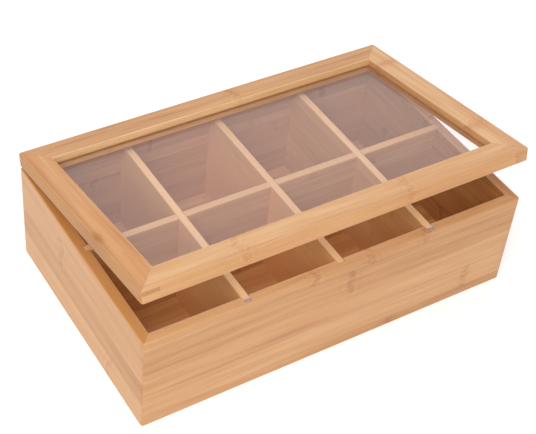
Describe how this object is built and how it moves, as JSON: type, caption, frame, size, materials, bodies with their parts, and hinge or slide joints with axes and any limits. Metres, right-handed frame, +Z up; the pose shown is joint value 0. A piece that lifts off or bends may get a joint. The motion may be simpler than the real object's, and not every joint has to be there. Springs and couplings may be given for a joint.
{
  "type": "tea bag organizer box",
  "caption": "Bamboo tea bag organizer box with a hinged window lid over divided compartments, in mitred boards.",
  "frame": {"origin": "centre of the underside, on the surface that the box stands on", "axes": "+X runs to the right along the long front, +Y from the front to the hinged back, +Z up"},
  "size_m": [0.33, 0.2103, 0.1363],
  "materials": {
    "bamboo_walls": "satin lacquered bamboo",
    "bamboo_panel": "satin lacquered bamboo",
    "bamboo_lid": "satin lacquered bamboo",
    "bamboo_keys": "end grain under satin lacquer",
    "clear_pane": "clear polished acrylic",
    "hinge_brass": "polished brass",
    "screw_brass": "polished brass",
    "pin_steel": "drawn steel",
    "clear_silicone": "clear satin silicone"
  },
  "bodies": {
    "box": {"front_wall": "bamboo_walls", "back_wall": "bamboo_walls", "left_wall": "bamboo_walls", "right_wall": "bamboo_walls", "base_panel": "bamboo_panel", "long_divider": "bamboo_panel", "cross_divider_left": "bamboo_panel", "cross_divider_middle": "bamboo_panel", "cross_divider_right": "bamboo_panel", "left_hinge_box_leaf": "hinge_brass", "right_hinge_box_leaf": "hinge_brass", "left_hinge_pin": "pin_steel", "right_hinge_pin": "pin_steel", "box_leaf_screws": "screw_brass", "bumper_left": "clear_silicone", "bumper_right": "clear_silicone"},
    "lid": {"lid_front_rail": "bamboo_lid", "lid_back_rail": "bamboo_lid", "lid_left_stile": "bamboo_lid", "lid_right_stile": "bamboo_lid", "key_front_left": "bamboo_keys", "key_front_right": "bamboo_keys", "key_back_right": "bamboo_keys", "key_back_left": "bamboo_keys", "window_pane": "clear_pane", "left_hinge_lid_leaf": "hinge_brass", "right_hinge_lid_leaf": "hinge_brass", "lid_leaf_screws": "screw_brass"}
  },
  "joints": [
    {"name": "lid_hinge", "type": "hinge", "parent": "box", "child": "lid", "pos_m": [0, 0.1038, 0.0895], "axis": [-1, 0, 0], "range_deg": [-9.85, 90.15]}
  ]
}
